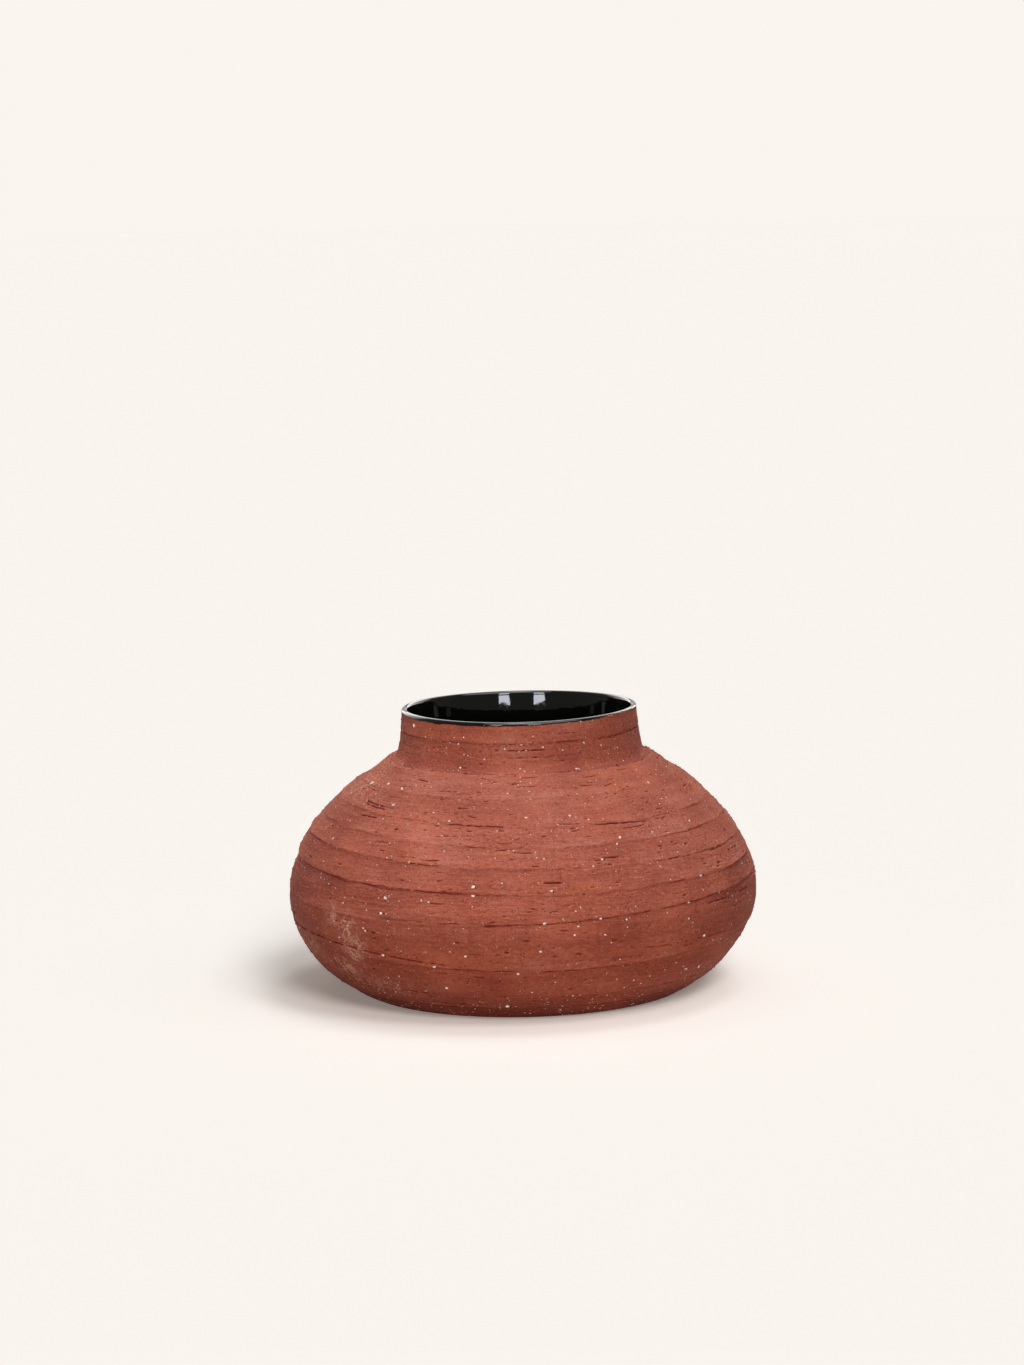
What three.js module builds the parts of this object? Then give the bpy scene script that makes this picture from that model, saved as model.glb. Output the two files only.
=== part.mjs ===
import * as THREE from "three";

// A squat terracotta vase, built by hand from a round slab, a stack of clay coils and a rim coil,
// with a glossy dark glaze that lines the inside and runs over the lip.
// Millimetres, Z up, standing on Z = 0 with its axis on Z. The front of the vase faces -Y.

// The outside, from the foot up
const FOOT_RADIUS = 87;
const SLAB_THICKNESS = 8;
const SLAB_FLARE = 15;
const SLAB_BULGE = 0.8;
const BELLY_RADIUS = 130;
const BELLY_HEIGHT = 52;
const SHOULDER_RISE = 78;
const FILLET_RISE = 13;
const FILLET_RUN = 7;
const NECK_RISE = 14;
const NECK_TAPER = 1;
const LIP_RADIUS = 65;

// How the wall curves: the slope it starts and ends with, and how far each end keeps its direction
const FOOT_SLOPE = THREE.MathUtils.degToRad(28);
const FOOT_PULL = 15;
const BELLY_PULL_DOWN = 12;
const BELLY_PULL_UP = 33;
const SHOULDER_PULL = 40;
const SHOULDER_SLOPE = THREE.MathUtils.degToRad(30);
const FILLET_PULL = 5;

// Thicknesses, and the slope at which the inside leaves the floor
const COIL_WALL = 6;
const LIP_WALL = 2.8;
const GLAZE = 0.5;
const FLOOR_CORNER_SLOPE = THREE.MathUtils.degToRad(43);

// The coils of the wall, from the slab up: how much of the wall each makes at the back, how far the
// seam on top of it sags at the front, and how far that seam rises to the right
const BODY_COILS = [
  { width: 14, sag: 2, lean: 0 },
  { width: 33, sag: 14, lean: -1.5 },
  { width: 20, sag: 6, lean: 3.5 },
  { width: 15.5, sag: 5.5, lean: -1.5 },
  { width: 14, sag: 5.5, lean: -3 },
  { width: 14, sag: 6.5, lean: -2.5 },
  { width: 12.5, sag: 5.5, lean: -2.5 },
  { width: 19, sag: 4.5, lean: 0.5 },
  { width: 15.5, sag: 0, lean: 0 },
];
const RIM_COIL_HEIGHT = 10;

// The seams: how deep they are pressed, how far from a seam the face of a coil begins, and how much
// the scraper took off the middle of each face
const SEAM_DEPTH = 0.8;
const NECK_SEAM_DEPTH = 0.35;
const SEAM_EDGE = 1.2;
const SCRAPE_DEPTH = 0.3;

// The underside: a flat standing ring round a shallow recess
const STANDING_RING = 15;
const RECESS_DEPTH = 2.5;
const RECESS_CHAMFER = 3;

// Traces of the hand: the mouth is a little oval and dips towards the front
const RIM_DIP = 1;
const OVALNESS = 0.004;

// The glaze runs over the lip, furthest at the front left
const GLAZE_RUN = 1.7;
const GLAZE_RUN_SWING = 0.7;
const GLAZE_RUN_AZIMUTH = THREE.MathUtils.degToRad(235);

// Fineness of the mesh
const SEGMENTS = 60;
const SLAB_EDGE_STEPS = 2;
const FACE_STEP = 8;
const NECK_STEPS = 4;
const LIP_STEPS = 4;

const SLAB_RADIUS = FOOT_RADIUS + SLAB_FLARE;
const SHOULDER_HEIGHT = BELLY_HEIGHT + SHOULDER_RISE;
const SHOULDER_RADIUS = LIP_RADIUS + NECK_TAPER + FILLET_RUN;
const NECK_HEIGHT = SHOULDER_HEIGHT + FILLET_RISE;
const LIP_HEIGHT = NECK_HEIGHT + NECK_RISE;

const clay = new THREE.MeshStandardMaterial({ color: 0xb2644f, roughness: 0.95, metalness: 0 });
const darkClay = new THREE.MeshStandardMaterial({ color: 0xa25645, roughness: 0.95, metalness: 0 });
const glaze = new THREE.MeshStandardMaterial({ color: 0x0b110d, roughness: 0.08, metalness: 0 });

// Profile curves. A profile point is (radius, height), and each curve runs upwards.

// The coiled wall, from the top edge of the slab over the belly to the foot of the neck.
const wallCurve = new THREE.Path();
wallCurve.moveTo(SLAB_RADIUS, SLAB_THICKNESS);
wallCurve.bezierCurveTo(
  SLAB_RADIUS + FOOT_PULL * Math.cos(FOOT_SLOPE),
  SLAB_THICKNESS + FOOT_PULL * Math.sin(FOOT_SLOPE),
  BELLY_RADIUS,
  BELLY_HEIGHT - BELLY_PULL_DOWN,
  BELLY_RADIUS,
  BELLY_HEIGHT,
);
wallCurve.bezierCurveTo(
  BELLY_RADIUS,
  BELLY_HEIGHT + BELLY_PULL_UP,
  SHOULDER_RADIUS + SHOULDER_PULL * Math.cos(SHOULDER_SLOPE),
  SHOULDER_HEIGHT - SHOULDER_PULL * Math.sin(SHOULDER_SLOPE),
  SHOULDER_RADIUS,
  SHOULDER_HEIGHT,
);

// The neck: a hollow fillet out of the shoulder, then nearly straight up to where the lip rounds over.
const neckCurve = new THREE.Path();
neckCurve.moveTo(SHOULDER_RADIUS, SHOULDER_HEIGHT);
neckCurve.bezierCurveTo(
  SHOULDER_RADIUS - FILLET_PULL * Math.cos(SHOULDER_SLOPE),
  SHOULDER_HEIGHT + FILLET_PULL * Math.sin(SHOULDER_SLOPE),
  LIP_RADIUS + NECK_TAPER,
  NECK_HEIGHT - FILLET_PULL,
  LIP_RADIUS + NECK_TAPER,
  NECK_HEIGHT,
);
neckCurve.lineTo(LIP_RADIUS, LIP_HEIGHT - LIP_WALL / 2);

// A point at a share of the way up a curve, moved square to the curve by depth into the clay.
function below(curve, share, depth) {
  const point = curve.getPoint(share);
  const along = curve.getTangent(share);
  return new THREE.Vector2(point.x - depth * along.y, point.y + depth * along.x);
}

// How far up the wall a seam lies at an azimuth. Seam 0 lies on the slab, and seam k on the k-th coil.
const widthBelow = (seam) => BODY_COILS.slice(0, seam).reduce((sum, coil) => sum + coil.width, 0);
function seamShare(seam, azimuth) {
  const { sag, lean } = seam === 0 ? { sag: 0, lean: 0 } : BODY_COILS[seam - 1];
  const frontness = ((1 - Math.sin(azimuth)) / 2) ** 2;
  const wander = lean * Math.cos(azimuth) - sag * frontness;
  return widthBelow(seam) / widthBelow(BODY_COILS.length) + wander / wallCurve.getLength();
}

// Points up the outside of a body coil: a scraped face, a little hollow, between two pressed seams.
function coilFace(coil, azimuth) {
  const edge = SEAM_EDGE / wallCurve.getLength();
  const low = seamShare(coil, azimuth);
  const high = seamShare(coil + 1, azimuth);
  const steps = Math.ceil(BODY_COILS[coil].width / FACE_STEP);
  const face = Array.from({ length: steps + 1 }, (_, step) => {
    const rise = step / steps;
    const share = THREE.MathUtils.lerp(low + edge, high - edge, rise);
    return below(wallCurve, share, SCRAPE_DEPTH * 4 * rise * (1 - rise));
  });
  return [below(wallCurve, low, SEAM_DEPTH), ...face, below(wallCurve, high, SEAM_DEPTH)];
}

// Where the floor ends and the inside of the wall begins.
const FLOOR_RADIUS = SLAB_RADIUS - COIL_WALL / Math.sin(FLOOR_CORNER_SLOPE);

// The inner end of a body seam, on the face that the glaze covers.
function seamInside(seam, azimuth) {
  return seam === 0
    ? new THREE.Vector2(FLOOR_RADIUS, SLAB_THICKNESS)
    : below(wallCurve, seamShare(seam, azimuth), COIL_WALL);
}

// The seam under the rim coil, and how thick the neck is there.
const RIM_SEAM_SHARE = 1 - RIM_COIL_HEIGHT / neckCurve.getLength();
const RIM_SEAM_WALL = THREE.MathUtils.lerp(COIL_WALL, LIP_WALL, RIM_SEAM_SHARE);
const rimSeamInside = below(neckCurve, RIM_SEAM_SHARE, RIM_SEAM_WALL);

// The lip rounds over the top of the rim coil, from the outside in.
function lipArc() {
  const centre = new THREE.Vector2(LIP_RADIUS - LIP_WALL / 2, LIP_HEIGHT - LIP_WALL / 2);
  return Array.from({ length: LIP_STEPS + 1 }, (_, step) => {
    const turn = (Math.PI * step) / LIP_STEPS;
    return new THREE.Vector2(
      centre.x + (LIP_WALL / 2) * Math.cos(turn),
      centre.y + (LIP_WALL / 2) * Math.sin(turn),
    );
  });
}

// The line on the outside of the rim where the glaze ends.
function glazeEdge(azimuth) {
  const run = GLAZE_RUN + GLAZE_RUN_SWING * Math.cos(azimuth - GLAZE_RUN_AZIMUTH);
  return below(neckCurve, 1 - run / neckCurve.getLength(), 0);
}

// Outlines. Each is a closed loop of profile points at one azimuth, outside up and inside down.
// One that starts and ends on the axis is closed by the axis.

// The slab flares from the ground up to the seam that the first coil starts with.
function slabOutline() {
  const recessRadius = FOOT_RADIUS - STANDING_RING;
  const edge = new THREE.QuadraticBezierCurve(
    new THREE.Vector2(FOOT_RADIUS, 0),
    new THREE.Vector2(FOOT_RADIUS + SLAB_FLARE / 2 + SLAB_BULGE, SLAB_THICKNESS / 2 - SLAB_BULGE),
    below(wallCurve, 0, SEAM_DEPTH),
  );
  return [
    new THREE.Vector2(0, RECESS_DEPTH),
    new THREE.Vector2(recessRadius - RECESS_CHAMFER, RECESS_DEPTH),
    new THREE.Vector2(recessRadius, 0),
    ...edge.getPoints(SLAB_EDGE_STEPS),
    seamInside(0, 0),
    new THREE.Vector2(0, SLAB_THICKNESS),
  ];
}

function bodyCoilOutline(coil, azimuth) {
  return [
    ...coilFace(coil, azimuth),
    seamInside(coil + 1, azimuth),
    seamInside(coil, azimuth),
  ];
}

// The neck starts on the seam that the last body coil ends with, and its hollow foot is smooth.
function neckCoilOutline(azimuth) {
  const foot = Array.from({ length: NECK_STEPS - 1 }, (_, step) =>
    below(neckCurve, (RIM_SEAM_SHARE * (step + 1)) / NECK_STEPS, 0),
  );
  return [
    below(wallCurve, 1, SEAM_DEPTH),
    ...foot,
    below(neckCurve, RIM_SEAM_SHARE, NECK_SEAM_DEPTH),
    rimSeamInside,
    seamInside(BODY_COILS.length, azimuth),
  ];
}

function rimCoilOutline(azimuth) {
  return [
    below(neckCurve, RIM_SEAM_SHARE, NECK_SEAM_DEPTH),
    below(neckCurve, (RIM_SEAM_SHARE + 1) / 2, 0),
    glazeEdge(azimuth),
    ...lipArc(),
    rimSeamInside,
  ];
}

// The clay that the glaze covers, from the middle of the floor up the inside and over the lip.
function glazedClay(azimuth) {
  const seams = Array.from({ length: BODY_COILS.length + 1 }, (_, seam) => seamInside(seam, azimuth));
  return [
    new THREE.Vector2(0, SLAB_THICKNESS),
    ...seams,
    rimSeamInside,
    ...lipArc().reverse(),
    glazeEdge(azimuth),
  ];
}

// A line of profile points moved sideways by distance, to the left of the way it runs.
function offset(line, distance) {
  const leftOf = (a, b) => new THREE.Vector2(a.y - b.y, b.x - a.x).normalize();
  const last = line.length - 1;
  return line.map((point, k) => {
    const before = leftOf(line[Math.max(k - 1, 0)], line[Math.max(k, 1)]);
    const after = leftOf(line[Math.min(k, last - 1)], line[Math.min(k + 1, last)]);
    const side = before.clone().add(after).normalize();
    return point.clone().addScaledVector(side, distance / side.dot(after));
  });
}

function glazeOutline(azimuth) {
  const under = glazedClay(azimuth);
  return [...under, ...offset(under, GLAZE).reverse()];
}

// Where a profile point at an azimuth lies on the finished, slightly uneven vase.
function placed(point, azimuth) {
  const rise = point.y / LIP_HEIGHT;
  const radius = point.x * (1 + OVALNESS * rise * Math.cos(2 * azimuth));
  const dip = RIM_DIP * rise ** 2 * (radius / LIP_RADIUS) * Math.sin(azimuth);
  return new THREE.Vector3(radius * Math.cos(azimuth), radius * Math.sin(azimuth), point.y + dip);
}

// A closed solid swept round the axis from an outline that may change with the azimuth.
// Each four-sided patch is split along its shorter diagonal, so that two pieces that share a
// surface are split alike and meet face to face.
function turned(name, outlineAt, material) {
  const rows = Array.from({ length: SEGMENTS }, (_, i) => {
    const azimuth = (2 * Math.PI * i) / SEGMENTS;
    return outlineAt(azimuth).map((point) => placed(point, azimuth));
  });
  const count = rows[0].length;
  const onAxis = (j) => Math.hypot(rows[0][j].x, rows[0][j].y) === 0;
  const closedByAxis = onAxis(0) && onAxis(count - 1);
  const indexOf = (i, j) => (onAxis(j) ? j : (i % SEGMENTS) * count + j);

  const triangles = [];
  for (let i = 0; i < SEGMENTS; i++) {
    for (let j = 0; j < (closedByAxis ? count - 1 : count); j++) {
      const next = (j + 1) % count;
      const corners = [indexOf(i, j), indexOf(i + 1, j), indexOf(i + 1, next), indexOf(i, next)];
      const [a, b, c, d] = corners.map((k) => rows[Math.floor(k / count)][k % count]);
      const acrossFirst = a.distanceToSquared(c) <= b.distanceToSquared(d);
      const split = acrossFirst ? [0, 1, 2, 0, 2, 3] : [0, 1, 3, 1, 2, 3];
      for (const three of [split.slice(0, 3), split.slice(3)]) {
        const triangle = three.map((corner) => corners[corner]);
        if (new Set(triangle).size === 3) triangles.push(...triangle);
      }
    }
  }

  const geometry = new THREE.BufferGeometry().setFromPoints(rows.flat());
  geometry.setIndex(triangles);
  geometry.computeVertexNormals();
  const mesh = new THREE.Mesh(geometry, material);
  mesh.name = name;
  return mesh;
}

const body = new THREE.Group();
body.add(turned("base_slab", slabOutline, darkClay));
BODY_COILS.forEach((_, coil) => {
  body.add(turned(`body_coil_${coil + 1}`, (azimuth) => bodyCoilOutline(coil, azimuth), clay));
});

const neck = new THREE.Group();
neck.add(turned("neck_coil", neckCoilOutline, clay));
neck.add(turned("rim_coil", rimCoilOutline, clay));

const vase = new THREE.Group();
vase.add(body, neck, turned("glaze_lining", glazeOutline, glaze));

export default vase;
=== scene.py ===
import math
from itertools import product

import bpy
import numpy as np
from mathutils import Matrix, Vector


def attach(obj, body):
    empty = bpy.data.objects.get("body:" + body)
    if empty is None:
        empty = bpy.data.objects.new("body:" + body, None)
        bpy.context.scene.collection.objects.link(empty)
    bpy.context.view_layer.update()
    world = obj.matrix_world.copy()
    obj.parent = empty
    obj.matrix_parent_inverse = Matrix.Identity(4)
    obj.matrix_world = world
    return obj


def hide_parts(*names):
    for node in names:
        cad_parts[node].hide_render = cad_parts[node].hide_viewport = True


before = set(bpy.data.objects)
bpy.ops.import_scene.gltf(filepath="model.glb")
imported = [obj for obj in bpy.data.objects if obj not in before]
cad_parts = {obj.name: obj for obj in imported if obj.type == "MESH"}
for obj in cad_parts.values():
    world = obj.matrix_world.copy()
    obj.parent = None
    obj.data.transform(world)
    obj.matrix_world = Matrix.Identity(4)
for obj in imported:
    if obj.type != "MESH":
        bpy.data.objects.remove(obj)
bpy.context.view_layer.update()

# A squat terracotta vase, built by hand from clay coils, scraped, and glazed inside.
# Sizes are in millimetres, and azimuths in degrees with the front of the vase at -90.
# Blender's objects are in metres.
MM = 0.001
TURN = 2 * math.pi

# The outside, from the foot up
FOOT_RADIUS = 88.5
SLAB_THICKNESS = 8
SLAB_FLARE = 13.5
SLAB_BULGE = 0.8
BELLY_RADIUS = 130
BELLY_HEIGHT = 52
SHOULDER_RISE = 78
FILLET_RISE = 13
FILLET_RUN = 7
NECK_RISE = 14
NECK_TAPER = 1
LIP_RADIUS = 65

# How the wall curves: the slope it starts and ends with, and how far each end keeps its direction
FOOT_SLOPE = math.radians(28)
FOOT_PULL = 15
BELLY_PULL_DOWN = 12
BELLY_PULL_UP = 33
SHOULDER_PULL = 40
SHOULDER_SLOPE = math.radians(30)
FILLET_PULL = 5

# The wall, which thins towards the lip, and the corner where it leaves the floor
COIL_WALL = 6
LIP_WALL = 2.8
BEVEL_WALL = 4.6
BEVEL_RUN = 11
FLOOR_CORNER_SLOPE = math.radians(43)
FLOOR_CORNER_RUN = 8

# The glaze on the wall. Outside it grows to its thickness from its edge, bedded in the clay, and
# below the lip it swells inwards.
GLAZE = 0.5
LIP_GLAZE = 0.25
GLAZE_EDGE = 0.7
GLAZE_BED = 0.15
GLAZED_RELIEF = 0.3
GLAZE_BELLY = 0.27
GLAZE_BELLY_RUN = 24

# The underside: a flat standing ring round a shallow recess
STANDING_RING = 15
RECESS_DEPTH = 2.5
RECESS_CHAMFER = 3

# The coils of the wall, from the slab up: how much of the wall each makes at the back, how far the
# seam on top of it sags at the front, and how far that seam rises to the right
BODY_COILS = [
    (14, 2, 0), (33, 14, -1.5), (20, 6, 3.5), (15.5, 5.5, -1.5), (14, 5.5, -3), (14, 6.5, -2.5),
    (12.5, 5.5, -2.5), (19, 4.5, 0.5), (15.5, 0, 0),
]
RIM_COIL_HEIGHT = 10

# The mouth: a little oval, lower at the front than at the back, higher to the right, and raised at
# both sides
OVALNESS = 0.004
RIM_DIP = 0.3
RIM_LEAN = 0.25
RIM_WAVE = 0.6

# For each seam from the slab up: how far the clay above it steps out, and how dark the painted shade
# along it is. At the neck's root the shoulder stands out instead, with a painted highlight along its
# edge.
SEAM_STEPS = [0.4, 0.6, 1.0, 1.0, 1.1, 0.95, 0.85, 0.75, 0.5, -1.0, 0.2]
SEAM_SHADE_LINES = [0.3, 0.4, 0.5, 0.7, 0.6, 0.5, 0.5, 0.4, 0.3, -1.8, 0.9]
NECK_ROOT = 9
SEAM_SOFTNESS = 1.9
SEAM_REACH_UP = 7
SEAM_REACH_DOWN = 3.5
SEAM_LINE_WIDTH = 0.75
CREVICE_WIDTH = 0.34
CREVICE_MARGIN = 12

# Where a seam still shows as an open line: seam, from azimuth, to azimuth, depth
CREVICES = [
    (0, -150, -60, 0.25), (1, -152, -120, 0.4), (1, -60, -30, 0.3), (2, -108, -92, 0.45),
    (2, -86, -71, 0.4), (2, -58, -38, 0.2), (3, -101, -60, 0.3), (3, -62, -28, 0.4),
    (3, -20, 0, 0.3), (4, -164, -146, 0.15), (4, -146, -124, 0.3), (4, -124, -90, 0.3),
    (4, -80, -64, 0.15), (4, -52, -38, 0.3), (4, -25, -5, 0.3), (5, -168, -142, 0.15),
    (5, -129, -111, 0.3), (5, -90, -78, 0.2), (5, -55, -12, 0.3), (6, -160, -131, 0.15),
    (6, -111, -99, 0.35), (6, -45, -28, 0.3), (7, -160, -137, 0.15), (7, -134, -118, 0.25),
    (7, -112, -94, 0.6), (7, -48, -20, 0.2), (8, -124, -114, 0.3), (8, -60, -50, 0.25),
    (9, -172, -130, 0.15), (9, -112, -58, 0.2), (9, -50, -20, 0.45), (10, -178, -140, 0.3),
    (10, -140, -60, 0.25), (0, -60, -25, 0.4),
]

# How far the glaze runs down outside from where the lip starts to round off: azimuth, distance
GLAZE_RUN = [
    (-180, -0.4), (-165, 0.1), (-153, 0.6), (-147, 0.8), (-141, 0.6), (-132, 0.9), (-128, 0.3),
    (-122, 0.35), (-116, 0.6), (-107, 0.5), (-100, 0.35), (-87, 0.3), (-71, -0.25), (-58, -0.1),
    (-48, -0.4), (-42, -1.1), (-20, -0.8), (20, 0.5), (70, 1.1), (115, 0.7), (150, 0.6),
    (180, -0.4),
]

# Where the hand left the wall fuller or flatter: azimuth, height, width in degrees, half height of
# the place, amount
SWELLS = [
    (180, 123, 60, 9, -1.5), (180, 106, 60, 14, -1.0), (0, 102, 60, 20, -0.7), (0, 139, 40, 6, 0.7),
    (0, 62, 50, 12, 0.9), (180, 78, 40, 8, -0.8), (180, 22, 60, 12, 1.0), (90, 90, 50, 20, 0.6),
    (60, 40, 40, 20, -0.6), (180, 132.5, 70, 4, -1.3), (0, 132.5, 70, 4, -1.2),
    (0, 123, 60, 6, -0.8), (180, 97, 50, 6, -0.7), (180, 33, 50, 8, 0.7), (0, 36, 50, 12, 0.7),
]

# Tears that the scraper left: from azimuth, to azimuth, height at each end, depth
TEARS = [
    (-176, -152, 43.5, 42, 0.55), (-152, -131, 42, 39.2, 0.7), (-132, -108, 39.3, 35, 0.45),
    (-102, -77, 142, 142, 0.45), (-115, -80, 130, 130, 0.25), (-90, -83, 128.5, 128.5, 0.6),
    (-92.8, -91, 129.6, 129.6, 1.0), (-92.8, -91, 129, 129, 0.9), (-150, -138, 113.8, 112.4, 0.6),
    (-149, -137, 112.6, 111.2, 0.55), (-147, -138, 107.5, 107.3, 0.5),
    (-144, -138, 115.5, 115, 0.45), (-139, -137, 115, 108, 0.3), (-122, -118, 112, 112.5, 0.6),
    (-111, -107, 115, 115, 0.6), (-71, -50, 106.5, 105, 0.5), (-69, -64, 90, 90, 0.6),
    (-88, -84, 88, 88, 0.5), (-86, -80, 79.7, 79.2, 0.7), (-126, -118, 90.8, 90.8, 0.4),
    (-118, -111, 90, 90.3, 0.4), (-131, -126, 93, 92.6, 0.45), (-117, -112, 101.5, 101.5, 0.45),
    (-113, -108, 102.3, 102, 0.35), (-65, -58, 127, 127.3, 0.6), (-58, -53, 122.5, 123.5, 0.5),
    (-118, -114, 133, 133, 0.5), (-23, -15, 115.5, 115.5, 0.6), (-50, -20, 85.5, 85.5, 0.3),
    (-60, -30, 41, 41, 0.25), (-105, -95, 42, 42, 0.3), (-126, -111, 17, 16.5, 0.4),
    (-130, -85, 59, 58.3, 0.2), (-40, -18, 59.5, 60, 0.4), (-97, -93, 99.3, 99, 0.4),
    (-97, -94, 105, 105, 0.4), (-101, -96, 115.5, 115.5, 0.35), (-122, -113, 122, 122.2, 0.45),
    (-103, -100, 126, 126, 0.5), (-94, -91, 125.5, 126, 0.5), (-135, -128, 126.5, 125.5, 0.4),
    (-108, -103, 112, 110.5, 0.5), (-96, -60, 138, 138.5, 0.15), (-170, -130, 140, 139, 0.15),
    (-50, -5, 145, 145.5, 0.25), (-112, -88, 5, 5, 0.35), (-108, -95, 2.5, 2.5, 0.3),
    (-80, -60, 7, 7, 0.3), (-122, -100, 10.5, 10.5, 0.3), (-118, -104, 7.5, 7.5, 0.3),
    (-60, -38, 9.5, 9, 0.35), (-92, -75, 2.8, 2.6, 0.25), (-91.5, -89.5, 124.5, 124.5, 0.6),
    (-178, -140, 136, 136.5, 0.12), (-72, -60, 150, 150, 0.2),
]

# The larger grains of grog: azimuth, height, half width
GRAINS = [
    (-126.5, 38, 1.1), (-112.5, 34, 1.0), (-125, 70, 1.2), (-113, 69.5, 0.8), (-102, 78, 0.9),
    (-102, 73.5, 0.8), (-126, 61.5, 0.9), (-83, 75.5, 0.9), (-111, 21, 1.0), (-104, 41, 0.7),
    (-86, 43.5, 0.8), (-91.5, 30.5, 0.9), (-88, 19, 0.8), (-71.5, 60, 0.9), (-85, 59, 0.8),
    (-77, 56.5, 0.7), (-47, 53.5, 0.9), (-46.5, 62, 0.8), (-40.5, 74.5, 1.0), (-40.5, 42, 1.2),
    (-69, 89.5, 0.9), (-62, 99, 0.8), (-51, 99.5, 0.9), (-34, 101, 0.9), (-75, 111, 0.8),
    (-88.5, 111, 0.8), (-112, 109, 0.8), (-118.5, 112.5, 0.8), (-135.5, 114, 1.0),
    (-148, 122.5, 1.0), (-160, 121, 1.6), (-152, 151.5, 1.3), (-138, 121.5, 0.9), (-79, 143.5, 0.7),
    (-97, 143, 0.6), (-118, 133, 0.7), (-152, 94, 0.9), (-138.5, 64, 0.8), (-87, 142, 0.6),
    (-58, 144, 0.7), (-95, 9.5, 1.3), (-65, 58, 0.7), (-78, 52, 0.7), (-70.5, 51, 0.6),
    (-36, 22, 1.2), (-42, 23, 1.1), (-121, 131.5, 0.35), (-118.5, 131.8, 0.5), (-113, 131, 0.3),
    (-84, 131.3, 0.35), (-63, 131.2, 0.4), (-36, 132, 0.45), (-128, 24, 0.6), (-126, 20, 0.5),
    (-124, 26, 0.5), (-60, 22, 0.6), (-57, 19, 0.5), (-62, 18, 0.5), (-55, 23, 0.5),
    (-124, 71, 0.5), (-127, 69.5, 0.5), (-121, 69, 0.4), (-95, 80, 0.5), (-102, 68, 0.5),
    (-82, 25, 0.6), (-90, 4, 0.7), (-107, 156, 0.8), (-85, 156, 0.4), (-83, 156, 0.45),
    (-65.5, 156, 0.4), (-59, 156, 0.55), (-52, 155.5, 0.4),
]

# What is scattered at random besides: long and short tears, crumbs torn out along the neck's root,
# grains at the ends of the first tears, grains all over and more near the foot, and pits
LONG_TEARS = 260
SHORT_TEARS = 3600
ROOT_CRUMBS = 80
GRITTY_TEARS = 180
MORE_GRAINS = 2400
FOOT_GRAINS = 500
FOOT_GRAIN_REACH = 32
# Pits are dark pebbles that paint a pit's shade
MORE_PITS = 900
TEAR_SEED = 8
GRAIN_SEED = 7

# How deep the middle of a grain and of a pit lies, in half widths, and the burr below a tear
GRAIN_SUNK = 0.12
PIT_SUNK = 0.28
BURR_SHARE = 0.35
BURR_BELOW = 0.95
BURR_WIDTH = 0.5

# Patches painted lighter or darker: azimuth, height, width, height of the patch, amount. The dark
# ones near the left and right outlines are painted shade.
TONE_AND_SHADE_PATCHES = [
    (-108, 149, 50, 10, 1.2), (-90, 140, 50, 14, 1.2), (-155, 138, 40, 20, -0.6),
    (-128, 126, 50, 10, 0.8), (-118, 135.5, 70, 6, -0.5), (-50, 127, 80, 12, 0.6),
    (-108, 120, 40, 12, 0.5), (-95, 103, 28, 14, 0.9), (-90, 94, 50, 12, 0.6),
    (-22, 70, 60, 34, -0.8), (-42, 80, 30, 20, -0.3), (-163, 66, 60, 36, -1.5),
    (-142, 76, 24, 14, -0.8), (-63, 80, 24, 10, 0.5), (-90, 64, 60, 12, -0.4),
    (-33, 48, 50, 24, -1.1), (-98, 42, 30, 10, -0.2), (-166, 76, 44, 14, -1.1),
    (-153, 103, 40, 16, -0.8), (-78, 12, 80, 14, -0.5), (-125, 14, 30, 12, 0.4),
    (60, 80, 70, 30, -0.6), (130, 50, 60, 24, -0.5), (-62, 118, 40, 20, 0.35),
    (-118, 104, 40, 26, 0.35), (-60, 40, 36, 30, 0.4), (-110, 27, 30, 20, 0.35),
    (-68, 27, 30, 20, 0.35), (-90, 76, 30, 12, -0.35), (-168, 88, 40, 16, -0.4),
]

# Pale dusty patches: azimuth, height, width, height of the patch, strength
DUST = [
    (-135, 18, 70, 16, 0.4), (-142, 56, 14, 12, 0.7), (-137, 50, 14, 14, 1.0),
    (-134, 43, 12, 12, 0.8), (-137, 35, 14, 14, 0.9), (-143, 27, 24, 14, 0.8),
    (-160, 34, 30, 16, 0.7), (-166, 118, 60, 26, 0.5), (-160, 30, 40, 20, 0.35),
    (40, 60, 40, 30, 0.5), (118, 100, 30, 18, 0.6), (170, 25, 40, 20, 0.4),
]

# Smooth random unevenness: amount, mm that it takes to change round the vase and upwards, seed
UNEVEN_CLAY = [
    (0.35, 90, 60, 1), (0.2, 30, 9, 2), (0.1, 9, 3, 3), (0.05, 30, 1.2, 4), (0.05, 2.2, 1, 5),
]
UNEVEN_TONE = [(0.45, 40, 14, 6), (0.3, 60, 3, 7), (0.25, 12, 7, 8)]
SEAM_STRENGTH = [(0.55, 45, 10, 20), (0.45, 13, 10, 22)]
SEAM_WANDER = [(0.6, 16, 10, 21), (0.3, 5, 10, 23)]
SEAM_SOFTENING = [(1.1, 20, 10, 24)]
SEAM_FADING = [(0.6, 11, 10, 25)]
TEAR_WANDER = [(0.3, 4, 4, 30)]
TEAR_BREAKS = [(0.8, 2.2, 1, 31), (0.5, 9, 4, 32)]
GLAZE_RAGS = [(0.5, 6, 50, 50), (0.5, 2.2, 50, 51)]
GLAZE_WAVES = [(0.04, 16, 12, 52), (0.01, 6, 6, 53)]

# How far from the foot and from the lip the relief starts to fade out
RELIEF_FADE = 3

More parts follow.
